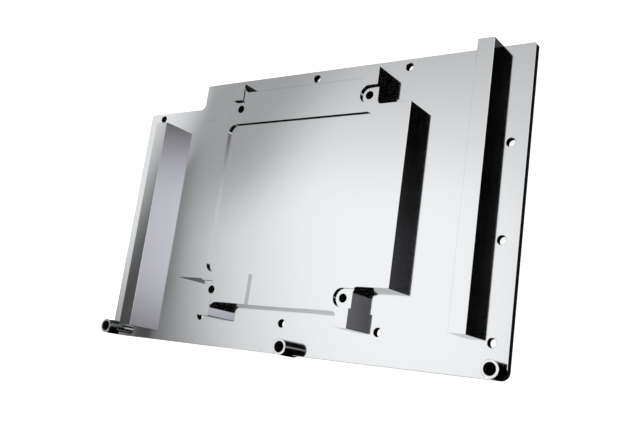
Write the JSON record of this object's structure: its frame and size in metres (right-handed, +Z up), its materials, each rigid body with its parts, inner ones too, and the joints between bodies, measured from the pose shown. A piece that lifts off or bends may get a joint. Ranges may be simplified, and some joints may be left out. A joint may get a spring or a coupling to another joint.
{
  "type": "gpu water block cold plate",
  "caption": "Nickel-plated copper cold plate of a graphics card water block, with a raised chip block, side rails, tubular standoffs and a finned chamber on its coolant side.",
  "frame": {"origin": "middle of the base plate on the flat coolant face that seats on the cover", "axes": "+X along the plate towards the right rail, +Y towards the notched back edge, +Z up out of the card side"},
  "size_m": [0.1562, 0.0973, 0.0095],
  "materials": {
    "nickel_plate": "satin nickel plating over machined copper"
  },
  "bodies": {
    "root": {"cold_plate": "nickel_plate"}
  },
  "joints": []
}
